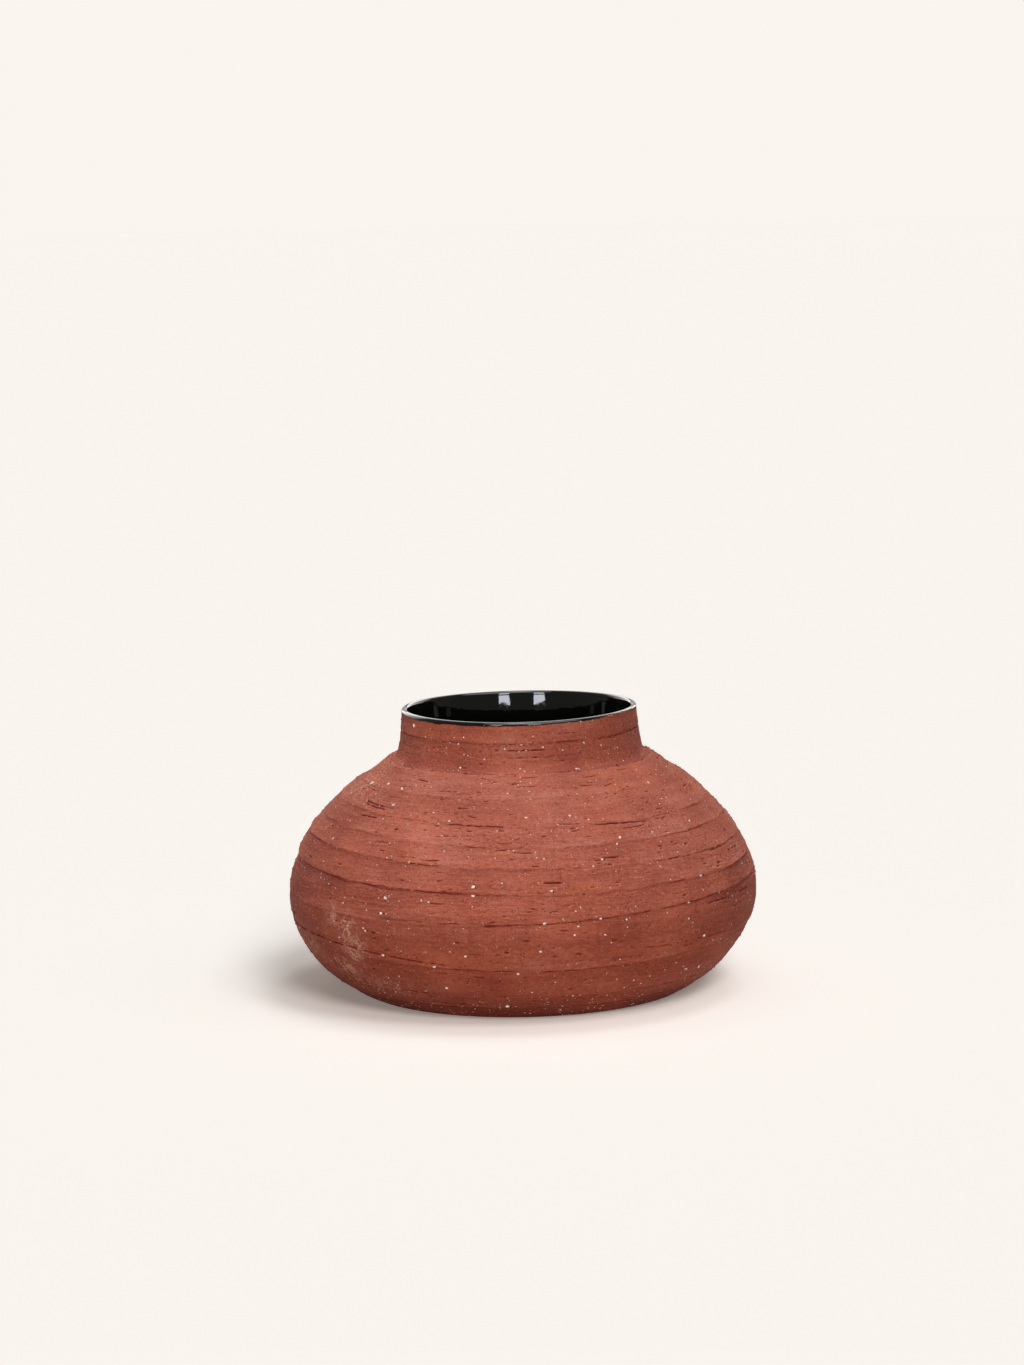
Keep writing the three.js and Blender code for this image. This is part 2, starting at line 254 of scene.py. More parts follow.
# Fineness of the meshes
COLUMNS = 1080
ROW_STEP = 0.28
MOST_ROWS = 76
SEAM_GATHER = 0.45
INSIDE_STEP = 4
SEAT_STEPS = 2
LIP_STEPS = 12
GLAZE_BED_STEP = 12
GLAZE_EDGE_STEP = 0.2
GLAZE_EDGE_ROWS = 14
GLAZE_NECK_STEP = 1.6
GLAZE_GATHER = 0.65
GLAZE_WALL_STEP = 7
CURVE_STEPS = 4000

SLAB_RADIUS = FOOT_RADIUS + SLAB_FLARE
SHOULDER_HEIGHT = BELLY_HEIGHT + SHOULDER_RISE
SHOULDER_RADIUS = LIP_RADIUS + NECK_TAPER + FILLET_RUN
NECK_HEIGHT = SHOULDER_HEIGHT + FILLET_RISE
LIP_HEIGHT = NECK_HEIGHT + NECK_RISE
FLOOR_RADIUS = SLAB_RADIUS - COIL_WALL / math.sin(FLOOR_CORNER_SLOPE)
MARK_RADIUS = 105

AZIMUTHS = np.arange(COLUMNS) * TURN / COLUMNS


def stacked(*parts):
    """Points from their coordinates, or faces from their corners."""
    return np.stack(np.broadcast_arrays(*parts), axis=-1)


# The profile. Its points are (radius, height).

def bezier(*points):
    """A Bezier curve of any degree, from its first point to its last."""
    share = np.linspace(0, 1, CURVE_STEPS)[:, None]
    level = [np.array(point, float) for point in points]
    while len(level) > 1:
        level = [low * (1 - share) + high * share for low, high in zip(level, level[1:])]
    return level[0]


def pulled(radius, height, slope, pull):
    """The point that lies a pull away along a slope, which rises outwards."""
    return radius + pull * math.cos(slope), height + pull * math.sin(slope)


class Line:
    """A profile line that is read by the distance along it."""

    def __init__(self, *stretches):
        points = np.concatenate(stretches)
        apart = np.append(True, np.hypot(*np.diff(points, axis=0).T) > 1e-9)
        self.points = points[apart]
        steps = np.diff(self.points, axis=0)
        lengths = np.hypot(*steps.T)
        self.at = np.append(0, np.cumsum(lengths))
        self.length = self.at[-1]
        self.middles = (self.at[1:] + self.at[:-1]) / 2
        self.directions = steps / lengths[:, None]

    def direction(self, distance):
        along, up = (np.interp(distance, self.middles, self.directions[:, axis]) for axis in (0, 1))
        size = np.hypot(along, up)
        return along / size, up / size

    def read(self, distance, depth=0):
        """Points at distances along the line, moved into the clay by depth."""
        radius, height = (np.interp(distance, self.at, self.points[:, axis]) for axis in (0, 1))
        along, up = self.direction(distance)
        return stacked(radius - depth * up, height + depth * along)

    def distance_at(self, height):
        return np.interp(height, self.points[:, 1], self.at)


slab_edge = bezier(
    (FOOT_RADIUS, 0),
    (FOOT_RADIUS + SLAB_FLARE / 2 + SLAB_BULGE, SLAB_THICKNESS / 2 - SLAB_BULGE),
    (SLAB_RADIUS, SLAB_THICKNESS),
)
wall_low = bezier(
    (SLAB_RADIUS, SLAB_THICKNESS),
    pulled(SLAB_RADIUS, SLAB_THICKNESS, FOOT_SLOPE, FOOT_PULL),
    (BELLY_RADIUS, BELLY_HEIGHT - BELLY_PULL_DOWN),
    (BELLY_RADIUS, BELLY_HEIGHT),
)
wall_high = bezier(
    (BELLY_RADIUS, BELLY_HEIGHT),
    (BELLY_RADIUS, BELLY_HEIGHT + BELLY_PULL_UP),
    pulled(SHOULDER_RADIUS, SHOULDER_HEIGHT, -SHOULDER_SLOPE, SHOULDER_PULL),
    (SHOULDER_RADIUS, SHOULDER_HEIGHT),
)
fillet = bezier(
    (SHOULDER_RADIUS, SHOULDER_HEIGHT),
    pulled(SHOULDER_RADIUS, SHOULDER_HEIGHT, -SHOULDER_SLOPE, -FILLET_PULL),
    (LIP_RADIUS + NECK_TAPER, NECK_HEIGHT - FILLET_PULL),
    (LIP_RADIUS + NECK_TAPER, NECK_HEIGHT),
)
neck_side = bezier((LIP_RADIUS + NECK_TAPER, NECK_HEIGHT), (LIP_RADIUS, LIP_HEIGHT - LIP_WALL / 2))
outside = Line(slab_edge, wall_low, wall_high, fillet, neck_side)

# Distances along the outside at which the pieces meet
WALL_START = Line(slab_edge).length
WALL_LENGTH = Line(wall_low, wall_high).length
NECK_START = WALL_START + WALL_LENGTH
LIP_START = outside.length
RIM_START = LIP_START - RIM_COIL_HEIGHT
LIP_TOP = LIP_START + math.pi / 2 * LIP_WALL / 2


def seam(number, azimuth=AZIMUTHS):
    """Distance along the outside of a seam. Seam 0 lies on the slab, seam k on coil k."""
    if number > len(BODY_COILS):
        return RIM_START + 0 * azimuth
    sag, lean = BODY_COILS[number - 1][1:] if number else (0, 0)
    widths = [width for width, _, _ in BODY_COILS]
    share = sum(widths[:number]) / sum(widths)
    frontness = ((1 - np.sin(azimuth)) / 2) ** 2
    return WALL_START + share * WALL_LENGTH + lean * np.cos(azimuth) - sag * frontness


SEAMS = range(len(BODY_COILS) + 2)


def inside(distance, glaze=0):
    """The inside of the wall opposite a distance along the outside, or of the glaze on it."""
    to_lip = LIP_START - distance
    wall = np.interp(to_lip, [0, BEVEL_RUN, LIP_START - NECK_START], [LIP_WALL, BEVEL_WALL, COIL_WALL])
    coat = np.interp(to_lip, [0, BEVEL_RUN], [LIP_GLAZE, GLAZE]) if glaze else 0
    rise = np.clip((distance - WALL_START) / FLOOR_CORNER_RUN, 0, 1)[..., None]
    points = outside.read(np.maximum(distance, WALL_START + FLOOR_CORNER_RUN), wall + coat)
    corner = np.array([FLOOR_RADIUS, SLAB_THICKNESS + (GLAZE if glaze else 0)])
    return corner * (1 - rise) + points * rise


def lip(share, glaze=0):
    """Points round the lip, from outside at share 0 to inside at share 1."""
    angle = math.pi * share
    radius = LIP_WALL / 2 + glaze
    return stacked(LIP_RADIUS - LIP_WALL / 2 + radius * np.cos(angle),
                   LIP_HEIGHT - LIP_WALL / 2 + radius * np.sin(angle))


def placed(points, azimuth=AZIMUTHS):
    """Profile points as points in space. The mouth is a little oval and not quite level."""
    radius, height = points[..., 0], points[..., 1]
    rise = height / LIP_HEIGHT
    radius = radius * (1 + OVALNESS * rise * np.cos(2 * azimuth))
    tilt = (RIM_DIP * np.sin(azimuth) + RIM_LEAN * np.cos(azimuth)) * radius / LIP_RADIUS
    lift = rise**2 * tilt + RIM_WAVE * (rise**2 * np.cos(azimuth)) ** 2
    return stacked(radius * np.cos(azimuth), radius * np.sin(azimuth), height + lift)


# The face of the clay

def smooth(share):
    share = np.clip(share, 0, 1)
    return share * share * (3 - 2 * share)


def mottle(azimuth, distance, across, up, seed):
    """Smooth random values from -1 to 1 that change every `across` mm round and `up` mm up."""
    columns = max(3, round(TURN * MARK_RADIUS / across))
    lattice = np.random.default_rng(seed).uniform(-1, 1, (int(LIP_START / up) + 4, columns))
    x = azimuth / TURN * columns
    y = np.clip(distance / up + 1, 0, len(lattice) - 2)
    column, row = np.floor(x).astype(int), np.floor(y).astype(int)
    right, above = smooth(x - column), smooth(y - row)
    left, next_one = column % columns, (column + 1) % columns
    low = lattice[row, left] * (1 - right) + lattice[row, next_one] * right
    high = lattice[row + 1, left] * (1 - right) + lattice[row + 1, next_one] * right
    return low * (1 - above) + high * above


def layered(azimuth, distance, layers):
    """Smooth random values added up from several layers."""
    return sum(amount * mottle(azimuth, distance, *spread) for amount, *spread in layers)


def cut(azimuth, share, away, length, level, depth, width):
    """How deep a ragged line is cut, at shares along it and distances away from it."""
    wander = layered(azimuth, level, TEAR_WANDER) * min(1, length / 10)
    ends = smooth(share * length / 1.2) * smooth((1 - share) * length / 2.5)
    broken = 0.8 + layered(azimuth, level, TEAR_BREAKS)
    return depth * ends * np.clip(broken, 0.05, 1.2) * np.exp(-((away - wander) / width) ** 2)


def radius_at(distance):
    return outside.read(distance)[..., 0]


def chosen_tears():
    """Tears as (start azimuth, distance, length, depth, width, climb), first those in the photo."""
    tears = []
    for first, last, left_height, right_height, depth in TEARS:
        low, high = outside.distance_at(left_height), outside.distance_at(right_height)
        length = math.radians(last - first) * radius_at(low)
        tears.append((math.radians(first), low, length, 1.3 * depth, 0.4, high - low))
    random = np.random.default_rng(TEAR_SEED)
    for _ in range(LONG_TEARS):
        start, level = random.uniform(0, TURN), LIP_START * random.uniform(0.08, 0.97) ** 0.7
        length, depth = 4 + 14 * random.random() ** 2, random.uniform(0.2, 0.6)
        depth *= 0.4 if level > NECK_START else 1
        seen = math.sin(start) < -0.2
        if not seen or random.random() < 0.5:
            width, climb = random.uniform(0.3, 0.42), random.uniform(-0.8, 0.8)
            tears.append((start, level, length, depth, width, climb))
    for _ in range(SHORT_TEARS):
        start, level = random.uniform(0, TURN), LIP_START * random.uniform(0.03, 0.98) ** 0.75
        length, depth = 1.6 + 3 * random.random() ** 3, 0.15 + 1.5 * random.random() ** 2
        if level < NECK_START or random.random() < 0.2:
            width, climb = random.uniform(0.24, 0.4), random.uniform(-0.5, 0.5)
            tears.append((start, level, length, depth, width, climb))
    for _ in range(ROOT_CRUMBS):
        start, level = random.uniform(0, TURN), NECK_START + random.uniform(-1.2, 1.5)
        tears.append((start, level, random.uniform(1.5, 4), random.uniform(0.5, 1.4), 0.4, 0))
    return tears


def all_crevices():
    """Open seam lines as (seam, start azimuth, angle, depth), first those in the photo."""
    crevices = [(number, math.radians(first), math.radians(last - first), depth)
                for number, first, last, depth in CREVICES]
    random = np.random.default_rng(TEAR_SEED + 1)
    for number in SEAMS:
        for start in range(5, 170, 33):
            first = math.radians(random.uniform(start, start + 15))
            span = math.radians(random.uniform(6, 32))
            crevices.append((number, first, span, random.uniform(0.15, 0.5)))
    return crevices


ALL_TEARS = chosen_tears()
ALL_CREVICES = all_crevices()


def patch(azimuth, distance, centre, height, across, up):
    """1 in the middle of a round patch on the wall, falling to 0 beyond its edge."""
    level = outside.distance_at(height)
    x = (azimuth - math.radians(centre) + math.pi) % TURN - math.pi
    return np.exp(-((x * radius_at(level) / across * 2) ** 2) - ((distance - level) / up * 2) ** 2)


def seam_face(azimuth, distance):
    """The soft step at each seam: how far the clay stands proud there, and the painted shade line along
    it.
    """
    step, shade = np.zeros(distance.shape), np.zeros(distance.shape)
    for number in SEAMS:
        # Each seam reads a row of its own in the random values
        level = 10.0 * number
        strength = np.clip(0.6 + layered(azimuth, level, SEAM_STRENGTH), 0.05, 1.3)
        strength = strength * (0.45 + 0.55 * np.abs(np.cos(azimuth)))
        softness = SEAM_SOFTNESS + layered(azimuth, level, SEAM_SOFTENING)
        if number == NECK_ROOT:
            softness = 0.4 * softness
        away = distance - seam(number, azimuth) - layered(azimuth, level, SEAM_WANDER)
        side = smooth(away / softness + 0.5)
        above = np.exp(-np.maximum(away, 0) / SEAM_REACH_UP)
        under = np.exp(np.minimum(away, 0) / SEAM_REACH_DOWN)
        step += SEAM_STEPS[number] * strength * (0.6 * above * side - 0.4 * under * (1 - side))
        line = np.clip(0.7 + layered(azimuth, level, SEAM_FADING), 0.1, 1)
        shade += SEAM_SHADE_LINES[number] * line * np.exp(-((away + 0.5) / SEAM_LINE_WIDTH) ** 2)
    return step, shade


def cuts(azimuth, distance):
    """How deep the tears and open seams are cut, and the burr that tears push up below them."""
    depths, burr = np.zeros(distance.shape), np.zeros(distance.shape)
    low, high = distance.min() - 1, distance.max() + 1
    marks = [(*tear, False) for tear in ALL_TEARS]
    for number, start, span, depth in ALL_CREVICES:
        level = float(seam(number, start + span / 2))
        length = span * float(radius_at(level))
        marks.append((start, level, length, depth, CREVICE_WIDTH, number, True))
    for start, level, length, depth, width, course, follows in marks:
        margin = CREVICE_MARGIN if follows else 0
        if not low - margin < level < high + margin:
            continue
        share = ((azimuth - start) % TURN) * float(radius_at(level)) / length
        near = np.nonzero(share < 1)[0]
        if not len(near):
            continue
        share, places = share[near], azimuth[near]
        line = seam(course, places) if follows else level + course * share
        away = distance[:, near] - line
        depth_here = cut(places, share, away, length, level, depth, width)
        depths[:, near] = np.maximum(depths[:, near], depth_here)
        if not follows:
            burr[:, near] += BURR_SHARE * depth * np.exp(-((away + BURR_BELOW) / BURR_WIDTH) ** 2)
    return depths, burr


def relief(azimuth, distance):
    """How far the clay stands proud of the smooth outside, how hollow it is there, and its tone, with
    light and shade painted in.
    """
    shape = distance.shape
    distance = np.atleast_2d(distance)
    proud = layered(azimuth, distance, UNEVEN_CLAY)
    for centre, height, across, up, amount in SWELLS:
        across = math.radians(across) * BELLY_RADIUS
        proud += amount * patch(azimuth, distance, centre, height, across, 2 * up)
    step, shade = seam_face(azimuth, distance)
    depths, burr = cuts(azimuth, distance)
    # The tone holds painted light and shade of the relief: lighter above each seam's step and darker
    # below it, a painted shade line along each seam, which at the neck's root is a painted highlight,
    # and a painted highlight on the burr below each tear.
    tone_and_shade = layered(azimuth, distance, UNEVEN_TONE) + 1.8 * step + 1.5 * burr - 0.9 * shade + 0.2
    tone_and_shade += sum(amount * patch(azimuth, distance, *place) for *place, amount in TONE_AND_SHADE_PATCHES)
    values = proud + step + burr - depths - 0.12 * shade, smooth(depths / 0.36), tone_and_shade
    return [value.reshape(shape) for value in values]


def surface(distance, azimuth=AZIMUTHS):
    """Outside profile points, and the values that the materials read there."""
    proud, hollow, tone_and_shade = relief(azimuth, distance)
    dust = [strength * patch(azimuth, distance, *place) for *place, strength in DUST]
    proud = proud * smooth((LIP_START - distance) / RELIEF_FADE) * smooth(distance / RELIEF_FADE)
    values = {"hollow": hollow, "tone_and_shade": tone_and_shade, "dust": np.max(dust, axis=0)}
    return outside.read(distance, -proud), values


# Meshes

def rows_between(low, high, step, most=10**6, gather=0.0):
    """Distances from low to high, in rows that gather near both ends."""
    count = int(min(most, math.ceil(np.max(high - low) / step)))
    rise = np.linspace(0, 1, count + 1)
    rise = (rise - gather * np.sin(TURN * rise) / TURN)[:, None]
    return low + (high - low) * rise * np.ones(COLUMNS)


def straight(first, last, steps):
    """Rows of points between two rows, without these."""
    share = (np.arange(1, steps) / steps)[:, None, None]
    return first * (1 - share) + last * share


def around(*points):
    """Rows of profile points that are the same all the way round."""
    return np.array(points, float)[:, None, :] * np.ones((1, COLUMNS, 1))


def new_object(name, data):
    """An object in the scene."""
    thing = bpy.data.objects.new(name, data)
    bpy.context.scene.collection.objects.link(thing)
    return thing


def new_mesh(name, points, faces, places, smooth_faces):
    """A mesh object from points in mm, lists of faces by corner number, and their map places."""
    mesh = bpy.data.meshes.new(name)
    corners = np.concatenate([face.ravel() for face in faces]).astype(np.int32)
    sizes = np.concatenate([np.full(len(face), face.shape[1]) for face in faces])
    mesh.vertices.add(len(points))
    mesh.vertices.foreach_set("co", (points * MM).astype(np.float32).ravel())
    mesh.loops.add(len(corners))
    mesh.loops.foreach_set("vertex_index", corners)
    mesh.polygons.add(len(sizes))
    mesh.polygons.foreach_set("loop_start", (np.cumsum(sizes) - sizes).astype(np.int32))
    mesh.polygons.foreach_set("use_smooth", smooth_faces)
    layer = mesh.uv_layers.new(name="OFBake")
    layer.data.foreach_set("uv", np.concatenate([place.ravel() for place in places]).astype(np.float32))
    mesh.update(calc_edges=True)
    return new_object(name, mesh)


def keep_values(thing, values):
    """Values per vertex, for the materials."""
    for name, value in values.items():
        of_vectors = value.ndim == 2
        layer = thing.data.attributes.new(name, "FLOAT_VECTOR" if of_vectors else "FLOAT", "POINT")
        layer.data.foreach_set("vector" if of_vectors else "value", value.astype(np.float32).ravel())


# Map places: the margins of a strip, the least step and the steps to the poles in mm, and the share
# of their width that hidden rows get
STRIP_SIDE = 0.005
STRIP_BASE = 0.015
LEAST_STEP = 0.02
POLE_STEP = 3
HIDDEN_SHARE = 0.15


def map_strips(points, seen, closed):
    """Map places of the faces between rows: the ring is cut into strips, stacked in the unit square.

    Gives the places of each strip's columns and, for each row, how high in its strip it lies."""
    steps = np.linalg.norm(np.diff(points, axis=0), axis=-1).mean(axis=1)
    ends = np.linalg.norm(points[:1] - points[-1:], axis=-1).mean()
    steps = np.append(steps, ends) if closed else np.concatenate([[POLE_STEP], steps, [POLE_STEP]])
    shown = np.isin(np.arange(len(steps)), seen)
    weight = np.maximum(steps, LEAST_STEP) * np.where(shown, 1, HIDDEN_SHARE)
    climb = STRIP_BASE + (1 - 2 * STRIP_BASE) * np.append(0, np.cumsum(weight)) / weight.sum()
    girth = TURN * points[..., :2].max()
    folds = max(1, round(math.sqrt(girth / weight.sum())))
    while COLUMNS % folds:
        folds += 1
    per_strip = COLUMNS // folds
    column = np.arange(COLUMNS)
    width = (1 - 2 * STRIP_SIDE) / per_strip
    left = STRIP_SIDE + width * (column % per_strip)
    return left, left + width, (column // per_strip) / folds, climb / folds


def turned(name, profile, seen, values, ends=False):
    """A closed solid from rows of profile points, which run up the outside and down the inside.

    The last row meets the first one, or both close on the axis. seen are the rows of faces that
    show, which are shaded smooth."""
    points = placed(profile)
    rows = len(points)
    closed = not ends
    row = np.arange(rows if closed else rows - 1)[:, None]
    column = np.arange(COLUMNS)
    right = (column + 1) % COLUMNS
    above = (row + 1) % rows * COLUMNS
    row_start = row * COLUMNS
    quads = stacked(row_start + column, row_start + right, above + right, above + column)
    from_left, to_right, base, climb = map_strips(points, seen + (0 if closed else 1), closed)
    low, high = climb[:-1, None] + base, climb[1:, None] + base
    strips = stacked(from_left, low, to_right, low, to_right, high, from_left, high)
    shown = np.isin(np.arange(len(row)), seen)
    faces, places = [quads.reshape(-1, 4)], [strips if closed else strips[1:-1]]
    flat_points = points.reshape(-1, 3)
    smooth_faces = np.repeat(shown, COLUMNS)
    if ends:
        first_pole, last = rows * COLUMNS, (rows - 1) * COLUMNS
        heights = profile[[0, -1], :, 1].mean(axis=1)
        flat_points = np.concatenate([flat_points, stacked(0, 0, heights)])
        faces.append(stacked(first_pole, right, column))
        faces.append(stacked(last + column, last + right, first_pole + 1))
        middle = (from_left + to_right) / 2
        places.append(stacked(middle, low[0], to_right, high[0], from_left, high[0]))
        places.append(stacked(from_left, low[-1], to_right, low[-1], middle, high[-1]))
        smooth_faces = np.append(smooth_faces, np.ones(2 * COLUMNS, bool))
    thing = new_mesh(name, flat_points, faces, places, smooth_faces)
    beyond = np.zeros(2) if ends else np.zeros(0)
    keep_values(thing, {key: np.append(value.ravel(), beyond) for key, value in values.items()})
    return thing


def unrolled(distance, azimuth=AZIMUTHS):
    """Where a point lies on the face of the clay, for marks that follow the turning of the vase."""
    return stacked(MARK_RADIUS * np.cos(azimuth), MARK_RADIUS * np.sin(azimuth), distance) * MM


def clay_piece(name, outer, distance, values, rest, before=None):
    """A piece of clay whose outer rows have values, with plain rows before and after them."""
    before = outer[:0] if before is None else before
    profile = np.concatenate([before, outer, rest])
    seen = np.arange(len(before) + len(outer) - 1)

    def padded(value):
        return np.pad(value, ((len(before), len(rest)), (0, 0)))

    whole = {key: padded(value) for key, value in values.items()}
    thing = turned(name, profile, seen, whole, ends=len(before) > 0)
    spread = padded(distance)
    spread[: len(before)] = (before[..., 0] - FOOT_RADIUS) if len(before) else 0
    place = unrolled(spread).reshape(-1, 3)
    if len(before):
        place = np.concatenate([place, np.zeros((2, 3))])
    keep_values(thing, {"unrolled": place})
    return thing


def coil(name, number):
    """A coil, seated on the piece below over the whole wall. The last one ends in the lip."""
    is_rim = number == len(SEAMS)
    low, high = seam(number - 1), LIP_START if is_rim else seam(number)
    distance = rows_between(low, high, ROW_STEP, MOST_ROWS, 0 if is_rim else SEAM_GATHER)
    outer, values = surface(distance)
    inner = inside(rows_between(low, high, INSIDE_STEP))[::-1]
    if is_rim:
        over = around(*lip(np.arange(1, LIP_STEPS) / LIP_STEPS))
    else:
        over = straight(outer[-1], inner[0], SEAT_STEPS)
    under = straight(inner[-1], outer[0], SEAT_STEPS)
    return clay_piece(name, outer, distance, values, np.concatenate([over, inner, under]))


def base_slab(name):
    """The slab, with its recess and standing ring below and its flat floor on top."""
    ring = FOOT_RADIUS - STANDING_RING
    before = around((20, RECESS_DEPTH), (45, RECESS_DEPTH), (ring - RECESS_CHAMFER - 1, RECESS_DEPTH),
                    (ring - RECESS_CHAMFER, RECESS_DEPTH - 0.2), (ring - 0.3, 0.2), (ring + 0.5, 0),
                    ((ring + FOOT_RADIUS) / 2, 0), (FOOT_RADIUS - 0.5, 0))
    distance = rows_between(0, seam(0), ROW_STEP)
    outer, values = surface(distance)
    rest = around(*((radius, SLAB_THICKNESS) for radius in (FLOOR_RADIUS, 60, 20)))
    return clay_piece(name, outer, distance, values, rest, before)


def glaze_run():
    """How far the glaze comes down outside, from where the lip starts to round off."""
    azimuths, runs = np.array(GLAZE_RUN).T
    degrees = (np.degrees(AZIMUTHS) + 180) % 360 - 180
    run = np.interp(degrees, azimuths, runs)
    return run + (0.15 + 0.2 * np.abs(run)) * layered(AZIMUTHS, 0.0, GLAZE_RAGS)


def round_the_lip(distance, depth=0):
    """Points at distances along the outside, which beyond LIP_START runs on round the lip."""
    along = np.minimum(distance, LIP_START)
    share = np.maximum(distance - LIP_START, 0) / (math.pi * LIP_WALL / 2)
    on_lip = (distance > LIP_START)[..., None]
    return np.where(on_lip, lip(share, -depth), outside.read(along, depth))


def glaze_lining(name):
    """The glass coat: up along the clay to its ragged edge outside, and back on the bright side."""
    edge = LIP_START - glaze_run()
    up = rows_between(seam(0), LIP_START, GLAZE_BED_STEP)
    down = rows_between(edge, LIP_TOP, GLAZE_EDGE_STEP, GLAZE_EDGE_ROWS)
    clay_side = np.concatenate([
        around((30, SLAB_THICKNESS), (70, SLAB_THICKNESS)), inside(up),
        around(*lip(np.array([0.9, 0.75, 0.6]))), round_the_lip(down[::-4], GLAZE_BED),
    ])
    rise = np.clip((down - edge) / GLAZE_EDGE, 0, 1)
    coat = LIP_GLAZE * np.sqrt(1 - (1 - rise) ** 2)
    proud = relief(AZIMUTHS, np.minimum(down, LIP_START))[0] * smooth((LIP_START - down) / RELIEF_FADE)
    outer = round_the_lip(down, -GLAZED_RELIEF * proud - coat)
    over = lip(rows_between(0.5, 1, 1 / LIP_STEPS)[1:-1], LIP_GLAZE)
    neck = rows_between(NECK_START, LIP_START, GLAZE_NECK_STEP, gather=GLAZE_GATHER)[::-1]
    chamber = rows_between(seam(0), NECK_START, GLAZE_WALL_STEP)[::-1][1:]
    level = np.concatenate([neck, chamber])
    bright = inside(level, glaze=1)
    waves = layered(AZIMUTHS, level, GLAZE_WAVES) * smooth((LIP_START - level) / 2)
    belly = GLAZE_BELLY * np.sin(math.pi * np.clip((LIP_START - level) / GLAZE_BELLY_RUN, 0, 1))
    bright[..., 0] += waves - belly
    floor = around(*((radius, SLAB_THICKNESS + GLAZE) for radius in (75, 50, 20)))
    profile = np.concatenate([clay_side, outer, over, bright, floor])
    seen = np.arange(len(clay_side), len(profile) - 1)
    return turned(name, profile, seen, {}, ends=True)


# The grains of grog in the clay

def pebble():
    """An octahedron with each face cut in four: its points and faces, and places for the map."""
    points, faces = [], []
    number = {}

    def corner(point):
        key = tuple(np.round(point, 6))
        if key not in number:
            number[key] = len(points)
            points.append(np.array(point) / np.linalg.norm(point))
        return number[key]

    for x, y, z in product((1, -1), repeat=3):
        a, b, c = np.array([x, 0, 0]), np.array([0, y, 0]), np.array([0, 0, z])
        if x * y * z < 0:
            a, b = b, a
        ab, bc, ca = (a + b) / 2, (b + c) / 2, (c + a) / 2
        for face in ((a, ab, ca), (ab, b, bc), (ca, bc, c), (ab, bc, ca)):
            faces.append([corner(point) for point in face])
    points, faces = np.array(points), np.array(faces)
    corners = points[faces]
    flat = corners / np.abs(corners).sum(axis=-1, keepdims=True)
    signs = np.sign(corners.mean(axis=1, keepdims=True))
    folded = (1 - np.abs(flat[..., 1::-1])) * signs[..., :2]
    places = np.where(signs[..., 2:] < 0, folded, flat[..., :2])
    return points, faces, places


def grains():
    """Grains as rows of azimuth, distance, half width and paleness, which is -1 for a dark pebble that
    paints the shade of a pit.
    """
    rows = [(math.radians(a), outside.distance_at(z), size, 1.0) for a, z, size in GRAINS]
    random = np.random.default_rng(GRAIN_SEED)
    for start, level, length, *_ in ALL_TEARS[:GRITTY_TEARS]:
        if length < 22 and random.random() < 0.6:
            end = start + length / radius_at(level) * random.integers(0, 2)
            rows.append((end, level, random.uniform(0.3, 0.6), random.uniform(0.3, 1)))
    for _ in range(MORE_GRAINS):
        level = outside.length * random.uniform(0.03, 0.985)
        if random.random() < radius_at(level) / BELLY_RADIUS:
            size = 0.18 + 0.5 * random.random() ** 5
            rows.append((random.uniform(0, TURN), level, size, random.uniform(0, 1) ** 0.8))
    for _ in range(FOOT_GRAINS):
        azimuth, level = random.uniform(0, TURN), FOOT_GRAIN_REACH * random.random()
        rows.append((azimuth, level, random.uniform(0.2, 0.5), random.random() ** 0.6))
    # A dark pebble beside many grains paints the shade of the pit that the grain sits in
    for azimuth, level, size, _ in list(rows):
        if size > 0.3 and random.random() < 0.75:
            side = size * random.choice((-1.1, 1.15, 1.2, 1.25)) / radius_at(level)
            rows.append((azimuth + side, level - 0.6 * size * random.random(), 0.75 * size, -1.0))
    for _ in range(MORE_PITS):
        level = outside.length * random.uniform(0.03, 0.985) ** 0.8
        rows.append((random.uniform(0, TURN), level, random.uniform(0.2, 0.5), -1.0))
    return np.array(rows)


def grog(name):
    """All the grains in one mesh, each sunk in the clay by about half."""
    azimuth, distance, size, pale = grains().T
    random = np.random.default_rng(GRAIN_SEED + 1)
    count = len(azimuth)
    profile, _ = surface(distance, azimuth)
    centre = placed(profile, azimuth)
    along, up = outside.direction(distance)
    out = stacked(up * np.cos(azimuth), up * np.sin(azimuth), -along)
    side = stacked(-np.sin(azimuth), np.cos(azimuth), 0)
    top = np.cross(out, side)
    turn = random.uniform(-0.5, 0.5, count)[:, None]
    first = side * np.cos(turn) + top * np.sin(turn)
    second = top * np.cos(turn) - side * np.sin(turn)
    points, faces, places = pebble()
    shape = points * random.uniform(0.7, 1.15, (count, len(points), 1))
    long_side, short_side = random.uniform(0.9, 1.3, count), random.uniform(0.6, 1.0, count)
    thickness = random.uniform(0.45, 0.7, count)
    reach = size[:, None] * stacked(long_side, short_side, thickness)
    sunk = size * np.where(pale < 0, PIT_SUNK, GRAIN_SUNK)
    middle = centre - out * sunk[:, None]
    axes = np.stack([first, second, out], axis=1)
    all_points = middle[:, None, :] + (shape * reach[:, None, :]) @ axes
    all_faces = faces + len(points) * np.arange(count)[:, None, None]
    cells = math.ceil(math.sqrt(count))
    cell = stacked(np.arange(count) % cells, np.arange(count) // cells)[:, None, None, :]
    all_places = (cell + 0.5 + 0.45 * places) / cells
    shown = np.zeros(count * len(faces), bool)
    thing = new_mesh(name, all_points.reshape(-1, 3), [all_faces.reshape(-1, 3)], [all_places], shown)
    keep_values(thing, {"pale": np.repeat(pale, len(points))})
    return thing


# Materials

def colour(red, green, blue):
    """A colour from 0 to 255 as it looks on a screen, in the units of the shader."""
    shares = np.array([red, green, blue]) / 255
    linear = np.where(shares <= 0.04045, shares / 12.92, ((shares + 0.055) / 1.055) ** 2.4)
    return (*map(float, linear), 1.0)


